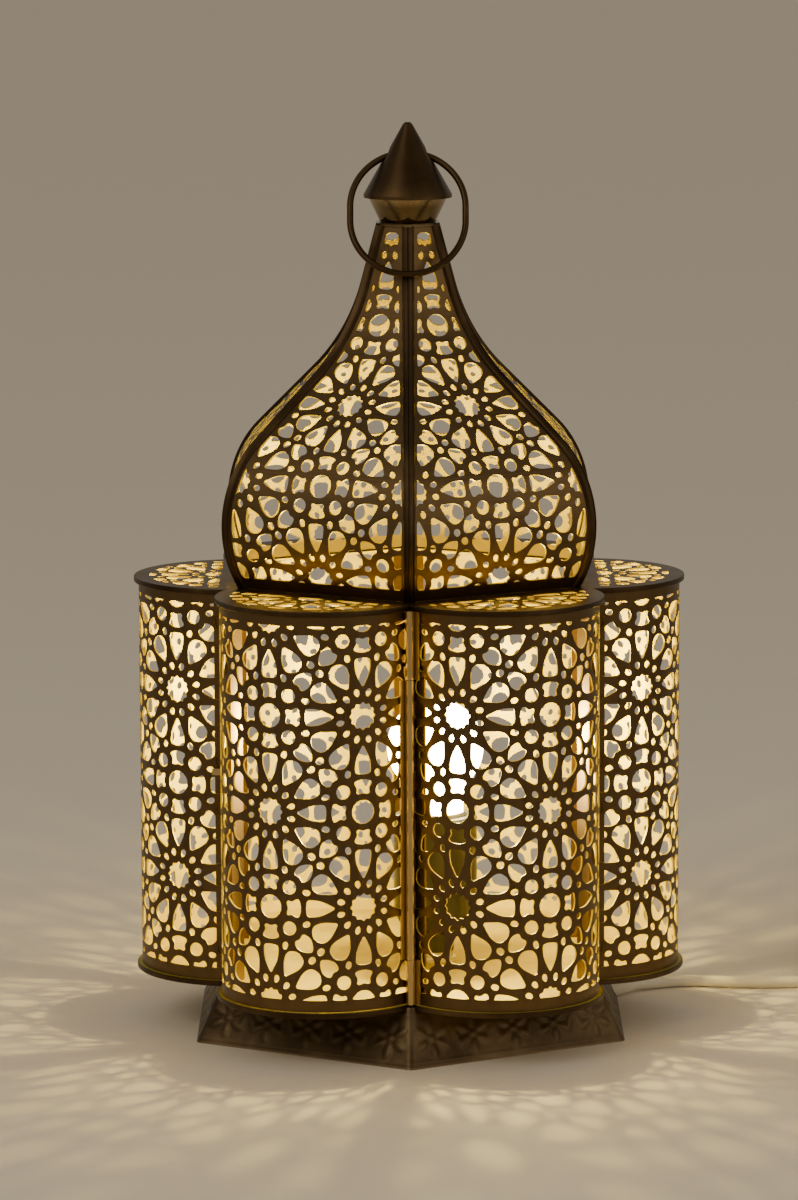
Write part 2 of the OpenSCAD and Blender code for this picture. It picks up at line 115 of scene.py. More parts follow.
def make_camera():
    data = bpy.data.cameras.new("camera")
    data.sensor_fit = "VERTICAL"
    data.sensor_height = 36
    data.lens = CAMERA_LENS
    data.clip_end = 100
    camera = link(bpy.data.objects.new("camera", data))
    right = Vector((1, 0, 0))
    up = Vector((0, math.sin(CAMERA_PITCH), math.cos(CAMERA_PITCH)))
    back = Vector((0, -math.cos(CAMERA_PITCH), math.sin(CAMERA_PITCH)))
    rolled_right = right * math.cos(CAMERA_ROLL) + up * math.sin(CAMERA_ROLL)
    rolled_up = up * math.cos(CAMERA_ROLL) - right * math.sin(CAMERA_ROLL)
    turned = Matrix((rolled_right, rolled_up, back)).transposed().to_4x4()
    camera.matrix_world = Matrix.Translation(CAMERA_AIM + back * CAMERA_DISTANCE) @ turned
    bpy.context.scene.camera = camera


# ---- materials ----


def material(name, **sockets):
    """A Principled material with plain socket values, named with _ for a space."""
    mat = bpy.data.materials.new(name)
    mat.use_nodes = True
    shader = mat.node_tree.nodes["Principled BSDF"]
    for socket, value in sockets.items():
        shader.inputs[socket.replace("_", " ")].default_value = value
    return mat


def add(mat, kind, **values):
    """A node of that kind in mat. Values name its inputs, or its settings in lower case."""
    node = mat.node_tree.nodes.new(kind)
    for key, value in values.items():
        if hasattr(node, key):
            setattr(node, key, value)
        else:
            node.inputs[key.replace("_", " ")].default_value = value
    return node


def join(mat, out, into):
    mat.node_tree.links.new(out, into)


def shader_of(mat):
    return mat.node_tree.nodes["Principled BSDF"]


def ramp(mat, factor, stops):
    """A colour ramp with (place, colour) stops."""
    node = add(mat, "ShaderNodeValToRGB")
    while len(node.color_ramp.elements) < len(stops):
        node.color_ramp.elements.new(0.5)
    for element, (place, colour) in zip(node.color_ramp.elements, stops):
        element.position = place
        element.color = (*colour, 1)
    join(mat, factor, node.inputs["Fac"])
    return node.outputs["Color"]


def noise(mat, coordinates, scale, detail=4.0, roughness=0.55):
    node = add(mat, "ShaderNodeTexNoise", Scale=scale, Detail=detail, Roughness=roughness)
    join(mat, coordinates, node.inputs["Vector"])
    return node.outputs["Fac"]


def bump(mat, height, strength, distance, under=None):
    node = add(mat, "ShaderNodeBump", Strength=strength, Distance=distance)
    join(mat, height, node.inputs["Height"])
    if under is not None:
        join(mat, under, node.inputs["Normal"])
    return node.outputs["Normal"]


# Noise scales, in cells to a metre
BLOTCH, GRAIN, DENTS, MOTTLE = 28.0, 900.0, 75.0, 60.0
GRAIN_STRENGTH, MOULD_STRENGTH = 0.18, 0.12
GRAIN_DEPTH, DENT_DEPTH, MOULD_DEPTH = 0.0002, 0.0008, 0.0001  # metres
MIX_A, MIX_B, MIXED = 6, 7, 2  # the Mix node's colour sockets: its number sockets have the same names


def metal(name, dark, mid, light, rough, metallic=1.0, hammer=0.0):
    """Worn sheet metal: blotchy patina, fine grain, edges rubbed bright and painted with a glint. Hammer is
    how deep the dents look.
    """
    mat = material(name, Metallic=metallic)
    where = add(mat, "ShaderNodeTexCoord").outputs["Object"]
    blotch = noise(mat, where, BLOTCH, detail=6.0)
    grain = noise(mat, where, GRAIN, detail=3.0)
    colour = ramp(mat, blotch, [(0.3, dark), (0.5, mid), (0.72, light)])
    # Pointy edges, such as the cut edges of the holes, take the light colour: partly rubbed wear, partly a
    # painted glint.
    pointiness = add(mat, "ShaderNodeNewGeometry").outputs["Pointiness"]
    rub_and_glint = ramp(mat, pointiness, [(0.5, (0, 0, 0)), (0.62, (1, 1, 1))])
    mix = add(mat, "ShaderNodeMix", data_type="RGBA")
    join(mat, rub_and_glint, mix.inputs["Factor"])
    join(mat, colour, mix.inputs[MIX_A])
    mix.inputs[MIX_B].default_value = (*light, 1)
    join(mat, mix.outputs[MIXED], shader_of(mat).inputs["Base Color"])
    polish = add(mat, "ShaderNodeMapRange", To_Min=rough - 0.1, To_Max=rough + 0.14)
    join(mat, blotch, polish.inputs["Value"])
    join(mat, polish.outputs["Result"], shader_of(mat).inputs["Roughness"])
    normal = bump(mat, grain, GRAIN_STRENGTH, GRAIN_DEPTH)
    if hammer:
        dents = noise(mat, where, DENTS, detail=1.0)
        normal = bump(mat, dents, hammer, DENT_DEPTH, under=normal)
    join(mat, normal, shader_of(mat).inputs["Normal"])
    return mat


def moulded(name, colour, rough, grain=1400.0, edge=0.0005):
    """Moulded plastic, glazed ware or a vinyl sheath: even colour, faint mottling, fine grain, soft edges."""
    mat = material(name, Roughness=rough)
    where = add(mat, "ShaderNodeTexCoord").outputs["Object"]
    mottle = noise(mat, where, MOTTLE, detail=3.0)
    shade = [c * 0.9 for c in colour]
    join(mat, ramp(mat, mottle, [(0.3, shade), (0.7, colour)]), shader_of(mat).inputs["Base Color"])
    soft = add(mat, "ShaderNodeBevel", samples=6, Radius=edge).outputs["Normal"]
    normal = bump(mat, noise(mat, where, grain), MOULD_STRENGTH, MOULD_DEPTH, under=soft)
    join(mat, normal, shader_of(mat).inputs["Normal"])
    return mat


def glowing(name, colour, strength, **sockets):
    mat = material(name, **sockets)
    shader = shader_of(mat)
    shader.inputs["Emission Color"].default_value = (*colour, 1)
    shader.inputs["Emission Strength"].default_value = strength
    return mat


# The outer brass: dark antique patina, darkened further with painted shade.
SHADED_ANTIQUE_BRASS = metal("antique_brass", (0.035, 0.021, 0.010), (0.062, 0.038, 0.018), (0.13, 0.082, 0.036), 0.38)
# The inner brass: a lighter, more golden copy of the brass for back faces, cut walls and the bottom plate,
# painted with the bulb's light.
INNER_LIT_BRASS = metal("inner_brass_painted_light", (0.30, 0.235, 0.025), (0.48, 0.38, 0.04), (0.64, 0.52, 0.07), 0.5, metallic=0.5)
BASE_BRASS = metal(
    "base_brass", (0.045, 0.030, 0.016), (0.08, 0.054, 0.028), (0.18, 0.125, 0.066), 0.42, hammer=0.12
)
# The hinge brass: a lighter copy of the same brass, a painted highlight.
HIGHLIT_HINGE_BRASS = metal("hinge_brass_painted_highlight", (0.16, 0.10, 0.04), (0.30, 0.20, 0.08), (0.5, 0.36, 0.16), 0.3)
BRIGHT = metal("bright_brass", (0.065, 0.044, 0.02), (0.13, 0.09, 0.042), (0.4, 0.3, 0.16), 0.18)
STEEL = metal("steel", (0.35, 0.35, 0.34), (0.5, 0.5, 0.49), (0.66, 0.66, 0.64), 0.32)
BLACK = moulded("black_plastic", (0.02, 0.02, 0.022), 0.35)
CREAM = moulded("cream_plastic", (0.80, 0.74, 0.60), 0.38, edge=0.0012)
SHEATH = moulded("cream_cord", (0.76, 0.70, 0.56), 0.45, grain=900.0)
PORCELAIN = moulded("porcelain", (0.82, 0.80, 0.74), 0.2)
BLUE = moulded("blue_core", (0.05, 0.12, 0.3), 0.4)
GLASS = glowing("bulb_glass", (1.0, 0.78, 0.42), 40.0, Roughness=0.25)
FILAMENT = glowing("filament", (1.0, 0.7, 0.3), 60.0)

# ---- the mains lead ----

# Points from the grommet to the switch, through it, on to the coil, and from the coil to the plug
LEAD_ROUTE = [
    (105.5, 43.6, 4.2), (109, 46.6, 3.8), (113, 49.6, 3.2), (119, 53, 2.8), (127, 56, 2.8), (136, 57.2, 2.8),
    (146, 56, 2.8), (156, 53.8, 2.8), (167, 52.8, 2.8), (178, 53.2, 2.8), (188, 54, 2.8), (198, 56.4, 2.8),
    (206.4, 61.8, 3), (211.8, 68.8, 4), (214.4, 75, 5.6), (215, 80, 6.6),
]
SWITCH_ROUTE = [(215, 99, 6.6), (215, 119, 6.6)]
TAIL_ROUTE = [
    (215, 138, 6.6), (215.4, 143, 5.6), (218, 150, 4), (224, 157.6, 3), (233, 162.4, 2.8), (243, 163.6, 2.8),
    (253, 160.8, 2.8), (262, 154, 2.8), (268.6, 145, 2.8), (273, 134, 2.8), (275.6, 121, 2.8),
    (277, 107, 2.8), (277.6, 92, 2.8), (277.8, 77, 2.8), (277.8, 62, 3), (277.6, 48, 3.4),
    (277.4, 34, 3.6), (277.4, 23, 3.6),
]
END_ROUTE = [
    (275.6, 5, 8.4), (277, -4, 7.6), (277.4, -13, 6.9), (277, -24, 6.8), (276.6, -32, 6.8), (276.5, -36, 6.8),
]
BOTTOM_TURNS, TOP_TURNS = 4, 3
STEPS_A_TURN = 48
STEPS_A_SPAN = 4  # between two points of a route
SHIFT_ARC = 0.3  # the share of a turn in which the lead moves over to the next turn
NEST = 0.86  # how high a second layer lies in the grooves of the first, in thicknesses


def ease(x):
    x = min(max(x, 0.0), 1.0)
    return x * x * (3 - 2 * x)


def coil_route():
    """Turns laid inwards on the table, then outwards on top of them, clockwise from the +X side."""
    outer = COIL_R + (BOTTOM_TURNS - 1) / 2 * CORD_D
    points = []
    for i in range((BOTTOM_TURNS + TOP_TURNS) * STEPS_A_TURN + 1):
        turns, share = divmod(i / STEPS_A_TURN, 1.0)
        shifted = turns + ease((share - 1 + SHIFT_ARC) / SHIFT_ARC)
        down = min(shifted, BOTTOM_TURNS - 1)
        climb = min(max(shifted - (BOTTOM_TURNS - 1), 0.0), 1.0)
        back = max(shifted - BOTTOM_TURNS, 0.0)
        back = min(back, TOP_TURNS - 1)
        radius = outer - CORD_D * down + CORD_D * (0.5 * climb + back)
        x, y = polar(radius, -360 * i / STEPS_A_TURN)
        points.append((COIL_AT[0] + x, COIL_AT[1] + y, COIL_LOW + CORD_D * (0.5 + NEST * climb)))
    return points


def smooth_line(points, steps):
    """A Catmull-Rom curve through the points, with steps to each span."""
    p = np.array(points, float)
    p = np.vstack([2 * p[0] - p[1], p, 2 * p[-1] - p[-2]])
    t = np.linspace(0, 1, steps, endpoint=False)[:, None]
    out = []
    for a, b, c, d in zip(p, p[1:], p[2:], p[3:]):
        square, cube = 2 * a - 5 * b + 4 * c - d, 3 * b - a - 3 * c + d
        out.append(0.5 * (2 * b + (c - a) * t + square * t**2 + cube * t**3))
    return np.vstack([*out, p[-2:-1]])


def make_lead():
    coil = coil_route()
    line = np.vstack([
        smooth_line(LEAD_ROUTE + SWITCH_ROUTE + TAIL_ROUTE + coil[:1], STEPS_A_SPAN)[:-1],
        coil[:-1],
        smooth_line(coil[-1:] + END_ROUTE, STEPS_A_SPAN),
    ])
    curve = bpy.data.curves.new("mains_lead", "CURVE")
    curve.dimensions = "3D"
    curve.bevel_depth = CORD_D / 2 * MM
    curve.bevel_resolution = 4
    curve.use_fill_caps = True
    spline = curve.splines.new("POLY")
    spline.points.add(len(line) - 1)
    spline.points.foreach_set("co", np.column_stack([line * MM, np.ones(len(line))]).ravel())
    spline.use_smooth = True
    curve.materials.append(SHEATH)
    lead = link(bpy.data.objects.new("mains_lead", curve))
    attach(lead, "lantern")
    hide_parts("cord_lead", "cord_tail", "cord_coil", "cord_end")


# ---- the pierced pattern ----
# Twelve-pointed stars and octagons alternate on a square lattice. Hole outlines are in lattice steps: x runs
# outwards from the middle of the star or octagon, and mirrored() takes only the half with y above 0.

STEP = 43.6  # from a star to the next octagon, in millimetres


def mirrored(half):
    """The whole outline of a hole from the half above its own axis."""
    return half + [(x, -y) for x, y in reversed(half) if y > 0]


def spin(outline, degrees):
    a = math.radians(degrees)
    return [(x * math.cos(a) - y * math.sin(a), x * math.sin(a) + y * math.cos(a)) for x, y in outline]


def nudge(outline, dx, dy):
    return [(x + dx, y + dy) for x, y in outline]


ROSE = [tuple(polar(0.15 if i % 2 == 0 else 0.122, 15 * i)) for i in range(24)]
DROP = mirrored([(0.204, 0), (0.222, 0.022), (0.25, 0.032), (0.278, 0.026), (0.294, 0)])
AXIS_PETAL = mirrored([(0.295, 0), (0.37, 0.042), (0.45, 0.078), (0.53, 0.09), (0.592, 0.088), (0.607, 0.04)])
SIDE_PETAL = mirrored([(0.31, 0), (0.39, 0.055), (0.46, 0.095), (0.53, 0.108), (0.585, 0.085), (0.622, 0)])
SPECK = [(-0.044, -0.012), (-0.02, -0.032), (0.03, -0.028), (0.044, 0.008), (0.012, 0.034), (-0.034, 0.026)]
SEED = [(-0.046, 0.0), (-0.02, -0.036), (0.03, -0.034), (0.048, 0.0), (0.03, 0.034), (-0.02, 0.036)]
OCTAGON = [tuple(polar(0.133, 22.5 + 45 * i)) for i in range(8)]
SPOOL = mirrored([
    (0.2, 0), (0.182, 0.05), (0.196, 0.08), (0.245, 0.066), (0.296, 0.1), (0.325, 0.088), (0.344, 0),
])
DISC = [tuple(polar(0.078, 45 * i)) for i in range(8)]
FISH = mirrored([
    (0.462, 0), (0.44, 0.05), (0.462, 0.076), (0.52, 0.09), (0.575, 0.072), (0.625, 0.034), (0.648, 0),
])


def star():
    holes = [ROSE]
    holes += [spin(DROP, 15 + 30 * k) for k in range(12)]
    holes += [spin(AXIS_PETAL, 90 * k) for k in range(4)]
    holes += [spin(SIDE_PETAL, 90 * k + side) for k in range(4) for side in (30, 60)]
    holes += [spin(nudge(SPECK, 0.625, 0), 90 * k + side) for k in range(4) for side in (-15.5, 15.5)]
    holes += [spin(nudge(SEED, 0.64, 0), 45 + 90 * k) for k in range(4)]
    return holes


def octagon():
    holes = [OCTAGON]
    holes += [spin(SPOOL, 90 * k) for k in range(4)]
    holes += [nudge(DISC, 0.215 * x, 0.215 * y) for x in (-1, 1) for y in (-1, 1)]
    holes += [spin(FISH, 45 + 90 * k) for k in range(4)]
    return holes


def rounded(outline, cut=0.24):
    """The outline with each corner cut in two."""
    p = np.array(outline, float)
    q = np.roll(p, -1, axis=0)
    return np.stack([p + (q - p) * cut, q - (q - p) * cut], axis=1).reshape(-1, 2)


def clipped(outline, borders):
    """The part of an outline inside every border, each a point on a line and the normal that points out."""
    p = [np.array(v, float) for v in outline]
    for at, out in borders:
        kept = []
        for a, b in zip(p, p[1:] + p[:1]):
            da, db = np.dot(a - at, out), np.dot(b - at, out)
            if da <= 0:
                kept.append(a)
            if da * db < 0:
                kept.append(a + (b - a) * da / (da - db))
        p = kept
        if len(p) < 3:
            return []
    return p


def area(p):
    """The area inside an outline, above 0 if it runs anticlockwise."""
    p = np.array(p)
    q = np.roll(p, -1, axis=0)
    return np.sum(p[:, 0] * q[:, 1] - p[:, 1] * q[:, 0]) / 2


LEAST_HOLE = 2.2  # square millimetres: anything smaller stays metal
REACH = range(-6, 7)  # lattice steps either side of the middle, enough for the largest panel


def pattern(middle, low, high, borders_at):
    """The holes of the lattice round a star at middle, in the box from low to high, cut at their borders."""
    holes = []
    for i in REACH:
        for j in REACH:
            at = np.array(middle) + STEP * np.array([i, j])
            if np.any(at < np.array(low) - STEP) or np.any(at > np.array(high) + STEP):
                continue
            for outline in star() if (i + j) % 2 == 0 else octagon():
                hole = at + STEP * np.array(outline)
                cut = clipped(hole, borders_at(hole.mean(axis=0)))
                if len(cut) >= 3 and abs(area(cut)) > LEAST_HOLE:
                    holes.append(rounded(cut if area(cut) > 0 else cut[::-1]))
    return holes


def pierced(name, outline, holes, rules, place, body="lantern", thick=SHEET):
    """A sheet with that outline and those holes. Rules are lines where the sheet may bend, and place(points,
    depth) puts flat points on its outer face, or that depth behind it."""
    coords, faces, edges = [], [], []
    for ring in [outline, *holes]:
        faces.append(list(range(len(coords), len(coords) + len(ring))))
        coords += [Vector((float(p[0]), float(p[1]))) for p in ring]
    for a, b in rules:
        edges.append((len(coords), len(coords) + 1))
        coords += [Vector((float(a[0]), float(a[1]))), Vector((float(b[0]), float(b[1])))]
    verts, _, tris, _, _, origins = delaunay_2d_cdt(coords, edges, faces, 1, 1e-4)
    tris = [t for t, origin in zip(tris, origins) if origin == [0]]
    used = sorted({v for t in tris for v in t})
    index = {v: i for i, v in enumerate(used)}
    flat = np.array([verts[v][:] for v in used])
    tris = [[index[v] for v in t] for t in tris]
    n = len(flat)
    sides = dict.fromkeys((a, b) for t in tris for a, b in zip(t, t[1:] + t[:1]))
    walls = [(b, a, a + n, b + n) for a, b in sides if (b, a) not in sides]
    points = np.vstack([place(flat, 0.0), place(flat, thick)])
    mesh_faces = tris + [[v + n for v in reversed(t)] for t in tris] + walls
    # Back faces and cut walls take the inner brass, painted light; the outer face takes the outer brass,
    # darkened with painted shade.
    return mesh_object(name, points, mesh_faces, SHADED_ANTIQUE_BRASS, body, inner=INNER_LIT_BRASS, inner_from=len(tris))


# ---- lobes ----

SEAM_MARGIN = 2.6  # unpierced metal beside a seam
BAND = 5.6  # unpierced metal along the top and the bottom
SLIT = 0.3  # from a panel's side edge to where the two lobes meet
LOBE_MIDDLE = 118.5  # height of the star in the middle
BEND_EVERY = 4.0  # along the arc, between lines where the sheet bends


def lobe_reach(r):
    """Half of the angle of a lobe of radius r, from its middle to where it meets the next lobe."""
    meet = LOBE_OFFSET * COS30 + math.sqrt(r**2 - (LOBE_OFFSET / 2) ** 2)
    x, y = polar(meet, 30)
    return math.atan2(y, x - LOBE_OFFSET)


def make_lobe(name, azimuth, low, high, node, body="lantern"):
    half = lobe_reach(LOBE_R) * LOBE_R - SLIT

    def place(p, depth):
        a = p[:, 0] / LOBE_R
        r = LOBE_R - depth
        flat = np.column_stack([LOBE_OFFSET + r * np.cos(a), r * np.sin(a), p[:, 1]])
        return turn(flat, azimuth)

    edge = half - SEAM_MARGIN
    borders = [
        (np.array([edge, 0]), np.array([1, 0])), (np.array([-edge, 0]), np.array([-1, 0])),
        (np.array([0, WALL_HIGH - BAND]), np.array([0, 1])),
        (np.array([0, WALL_LOW + BAND]), np.array([0, -1])),
    ]
    holes = pattern((0, LOBE_MIDDLE), (-half, low), (half, high), lambda at: borders)
    outline = [(-half, low), (half, low), (half, high), (-half, high)]
    count = math.ceil(2 * half / BEND_EVERY)
    rules = [((x, low), (x, high)) for x in np.linspace(-half, half, count + 1)[1:-1]]
    panel = pierced(name, outline, holes, rules, place, body)
    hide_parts(node)


# ---- dome ----


def dome_line(arc_steps=24):
    """Corner radius and height of a dome rib, from the top plate to the neck."""
    low = math.asin((TOP_Z - BULGE_Z) / BULGE_R)
    bulge = [
        (BULGE_X + BULGE_R * math.cos(a), BULGE_Z + BULGE_R * math.sin(a))
        for a in np.linspace(low, FLANK, arc_steps)
    ]
    end = (bulge[-1][0] - FLANK_L * math.sin(FLANK), bulge[-1][1] + FLANK_L * math.cos(FLANK))
    centre = (end[0] + HOLLOW_R * math.cos(FLANK), end[1] + HOLLOW_R * math.sin(FLANK))
    hollow = [
        (centre[0] - HOLLOW_R * math.cos(a), centre[1] - HOLLOW_R * math.sin(a))
        for a in np.linspace(FLANK, NECK_SLOPE, arc_steps)
    ]
    rise = NECK_Z - hollow[-1][1]
    neck = (hollow[-1][0] - rise * math.tan(NECK_SLOPE), NECK_Z)
    return np.array(bulge + hollow + [neck])


DOME_LINE = dome_line()
FACE_LINE = DOME_LINE * np.array([COS30, 1])  # the same along the middle of a panel
FACE_RUN = np.concatenate([[0], np.cumsum(np.linalg.norm(np.diff(FACE_LINE, axis=0), axis=1))])
FACE_NORMAL = np.gradient(FACE_LINE, FACE_RUN, axis=0) @ np.array([[0, -1], [1, 0]])
FACE_NORMAL /= np.linalg.norm(FACE_NORMAL, axis=1)[:, None]
DOME_STAR_Z = 217.6  # height of the lowest star
DOME_REACH = 60  # more than half of a panel's width
DOME_BAND, NECK_BAND = 6.0, 3.0  # unpierced metal at the dome's foot and at its neck
RIB_MARGIN = 3.9  # unpierced metal beside a fold at the bulge
NECK_MARGIN = 1.2  # how much wider that gets towards the neck
BULGE_STEP = 12  # the widest point of FACE_RUN, near enough
FOLD_GAP = 0.15  # from a panel's side edge to the fold
BEHIND = 0.05  # how far the panels lie behind the ribs
DOME_BENDS = 50


def along_face(run):
    return [np.interp(run, FACE_RUN, column) for column in (*FACE_LINE.T, *FACE_NORMAL.T)]


def make_dome_panel(name, azimuth, node):
    top = FACE_RUN[-1]

    def half_width(run):
        return np.interp(run, FACE_RUN, DOME_LINE[:, 0] / 2) - FOLD_GAP

    def place(p, depth):
        x, z, nx, nz = along_face(p[:, 1])
        sunk = depth + BEHIND
        tight = 1 - sunk / x * nx  # the sides draw in with depth, so that neighbours never cross
        return turn(np.column_stack([x - nx * sunk, p[:, 0] * tight, z - nz * sunk]), azimuth)

    def borders_at(at):
        run = float(np.clip(at[1], 0, top))
        full = float(half_width(run))
        width = full - RIB_MARGIN
        width -= NECK_MARGIN * (1 - full / float(half_width(FACE_RUN[BULGE_STEP])))
        slope = float(half_width(min(run + 1, top)) - half_width(max(run - 1, 0))) / 2
        sides = [
            (np.array([side * width, run]), np.array([side, -slope]) / math.hypot(1, slope))
            for side in (-1, 1)
        ]
        return sides + [
            (np.array([0, DOME_BAND]), np.array([0, -1])), (np.array([0, top - NECK_BAND]), np.array([0, 1])),
        ]

    middle = (0, float(np.interp(DOME_STAR_Z, FACE_LINE[:, 1], FACE_RUN)))
    holes = pattern(middle, (-DOME_REACH, 0), (DOME_REACH, top), borders_at)
    runs = np.linspace(0, top, DOME_BENDS)
    right = [(float(half_width(r)), r) for r in runs]
    left = [(-x, r) for x, r in right]
    outline = right + left[::-1]
    rules = list(zip(left, right))[1:-1]
    panel = pierced(name, outline, holes, rules, place)
    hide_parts(node)


# ---- top and bottom plates ----


def lobes_outline(more, steps=44):
    """The outline of the six lobes, grown by more."""
    r = LOBE_R + more
    reach = math.degrees(lobe_reach(r))
    return [
        polar(LOBE_OFFSET, azimuth) + polar(r, azimuth + reach * share)
        for azimuth in range(0, 360, 60) for share in np.linspace(-1, 1, steps, endpoint=False)
    ]


def band_faces(n, rings, closed=True):
    """Faces between rings of n points each, the last joined to the first if closed."""
    return [
        [a * n + k, a * n + (k + 1) % n, (a + 1) % rings * n + (k + 1) % n, (a + 1) % rings * n + k]
        for a in range(rings if closed else rings - 1) for k in range(n)
    ]


def make_rim(name, high):
    """The rim of a plate whose top is at that height."""
    profile = rim_profile(high, high - RIM_H)
    points = [(*p, z) for more, z in profile for p in lobes_outline(more)]
    rim = mesh_object(name, points, band_faces(len(points) // len(profile), len(profile)), SHADED_ANTIQUE_BRASS)


PLATE_STAR = 88.8  # from the axis to the middle of the star on each lobe
PLATE_CHORD = 87.5  # from the axis to the straight edge of the pierced part
PLATE_ROUND = 41.8  # radius of its round edge
PLATE_BOX = (60, -45), (125, 45)  # two corners of a box round the pierced part of one lobe
PLATE_OPENING = 84  # corner radius of the hexagonal opening under the dome
FLAT = OVERHANG - 0.45  # how far the flat of a plate reaches past the lobes, before its rim turns down


def rim_profile(high, low):
    """The folded rim of a plate with rounded edges, as (growth, height) points."""
    return [
        (FLAT, high), (OVERHANG - 0.12, high - 0.12), (OVERHANG, high - 0.45), (OVERHANG, low + 0.3),
        (OVERHANG - 0.3, low), (OVERHANG - 0.8, low), (OVERHANG - 1, low + 0.3), (OVERHANG - 1, high - 0.7),
        (OVERHANG - 0.6, high - 0.3),
    ]


def make_top_plate():
    centre = np.array([LOBE_OFFSET, 0])

    def borders_at(at):
        out = (at - centre) / np.linalg.norm(at - centre)
        return [(centre + PLATE_ROUND * out, out), (np.array([PLATE_CHORD, 0]), np.array([-1, 0]))]

    holes = pattern((PLATE_STAR, 0), *PLATE_BOX, borders_at)
    all_holes = [[polar(PLATE_OPENING, 30 + 60 * k) for k in range(6)]]
    for azimuth in range(0, 360, 60):
        for hole in holes:
            all_holes.append(turn(np.column_stack([hole, np.zeros(len(hole))]), azimuth)[:, :2])

    def place(p, depth):
        return np.column_stack([p, np.full(len(p), TOP_Z - depth)])

    plate = pierced("pierced_top_plate", lobes_outline(FLAT), all_holes, [], place)
    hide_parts("top_plate")
    make_rim("top_plate_rim", TOP_Z)


def make_bottom_plate():
    flat = [(*p, z) for z in (WALL_LOW, BASE_H) for p in lobes_outline(FLAT)]
    n = len(flat) // 2
    # The bottom plate's sheet takes the inner brass, painted light.
    plate = mesh_object("bottom_plate_sheet", flat, [list(range(n)), list(range(n, 2 * n))[::-1]], INNER_LIT_BRASS)
    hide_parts("bottom_plate")
    make_rim("bottom_plate_rim", WALL_LOW)


# ---- base ----

FLOWER_EVERY, FLOWER_UP = 21.5, 13.6  # along the face, and up its slant
FLOWER_MIDDLE, PETAL_OUT = 1.9, 6.1  # radius of the middle, and from there to a petal's middle
PETAL, LEAF = (3.9, 1.9), (6.4, 1.6)  # half lengths
LEAF_APART, LEAF_TILT = 2.0, 16
BORDER_LINES, BORDER_HALF = (2.6, 25.0), 0.9  # up the slant
RELIEF = 0.6
CORNER_ROUND = 4.0
NO_FLOWER = 999.0  # a place along the face, for the corners, where there is no relief
BASE_SHEET, BASE_LIP, BASE_LIP_UP = 1.6, 9, 1.2
BASE_ROWS = 34


def oval(s, t, at, along, across, degrees):
    """How far above 0 the points are on a rounded leaf of those half lengths."""
    a = math.radians(degrees)
    ds, dt = s - at[0], t - at[1]
    u = (ds * math.cos(a) + dt * math.sin(a)) / along
    v = (dt * math.cos(a) - ds * math.sin(a)) / across
    return np.sqrt(np.clip(1 - u**2 - v**2, 0, 1))


def relief(s, t):
    """Height of the embossed border: six-leaved flowers with a pair of curved leaves between them."""
    h = np.zeros_like(s)
    for k in range(-2, 3):
        c = np.array([k * FLOWER_EVERY, FLOWER_UP])
        h = np.maximum(h, 0.9 * oval(s, t, c, FLOWER_MIDDLE, FLOWER_MIDDLE, 0))
        for turned in range(30, 390, 60):
            h = np.maximum(h, oval(s, t, c + polar(PETAL_OUT, turned), *PETAL, turned))
        for side in (-1, 1):
            leaf = c + np.array([FLOWER_EVERY / 2 + side * LEAF_APART, 0])
            if k < 2:
                h = np.maximum(h, 0.85 * oval(s, t, leaf, *LEAF, 90 + side * LEAF_TILT))
    for line in BORDER_LINES:
        h = np.maximum(h, 0.35 * np.clip(1 - np.abs(t - line) / BORDER_HALF, 0, 1))
    return h * RELIEF


def hexagon_line(r, along=96, corner=8):
    """A hexagon of corner radius r with rounded corners: points, outward normals, and where each is along its
    face from the middle."""
    points, normals, places = [], [], []
    apothem, half = r * COS30, r / 2
    flat_half = half - CORNER_ROUND * TAN30
    for azimuth in range(0, 360, 60):
        for s in np.linspace(-flat_half, flat_half, along):
            points.append(turn([(apothem, s, 0)], azimuth)[0][:2])
            normals.append(polar(1, azimuth))
            places.append(s)
        centre = np.array([apothem - CORNER_ROUND, flat_half, 0])
        for share in np.linspace(0, 1, corner + 2)[1:-1]:
            at = centre + np.array([*polar(CORNER_ROUND, 60 * share), 0])
            points.append(turn([at], azimuth)[0][:2])
            normals.append(polar(1, azimuth + 60 * share))
            places.append(NO_FLOWER)
    return np.array(points), np.array(normals), np.array(places)


def make_base():
    rows = []
    slant = math.hypot((FOOT_R - BASE_TOP_R) * COS30, BASE_H)
    for share in np.linspace(0, 1, BASE_ROWS):
        r = FOOT_R - 0.4 + (BASE_TOP_R - FOOT_R + 0.4) * share
        p, out, s = hexagon_line(r)
        lift = relief(s, np.full_like(s, slant * share)) - 0.15
        rows.append(np.column_stack([p + out * lift[:, None], np.full(len(p), BASE_H * share)]))
    for r, z in (
        (BASE_TOP_R - BASE_SHEET, BASE_H), (FOOT_R - 2.2, BASE_LIP_UP),
        (FOOT_R - BASE_LIP, BASE_LIP_UP), (FOOT_R - BASE_LIP, 0.0),
    ):
        p = hexagon_line(r)[0]
        rows.append(np.column_stack([p, np.full(len(p), z)]))
    faces = band_faces(len(rows[0]), len(rows))
    base = mesh_object("embossed_base", np.vstack(rows), faces, BASE_BRASS, smooth_below=50)
    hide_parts("base_shell")


# ---- dome ribs ----

RIB_THICK = 1.25
RIB_ROWS = 90


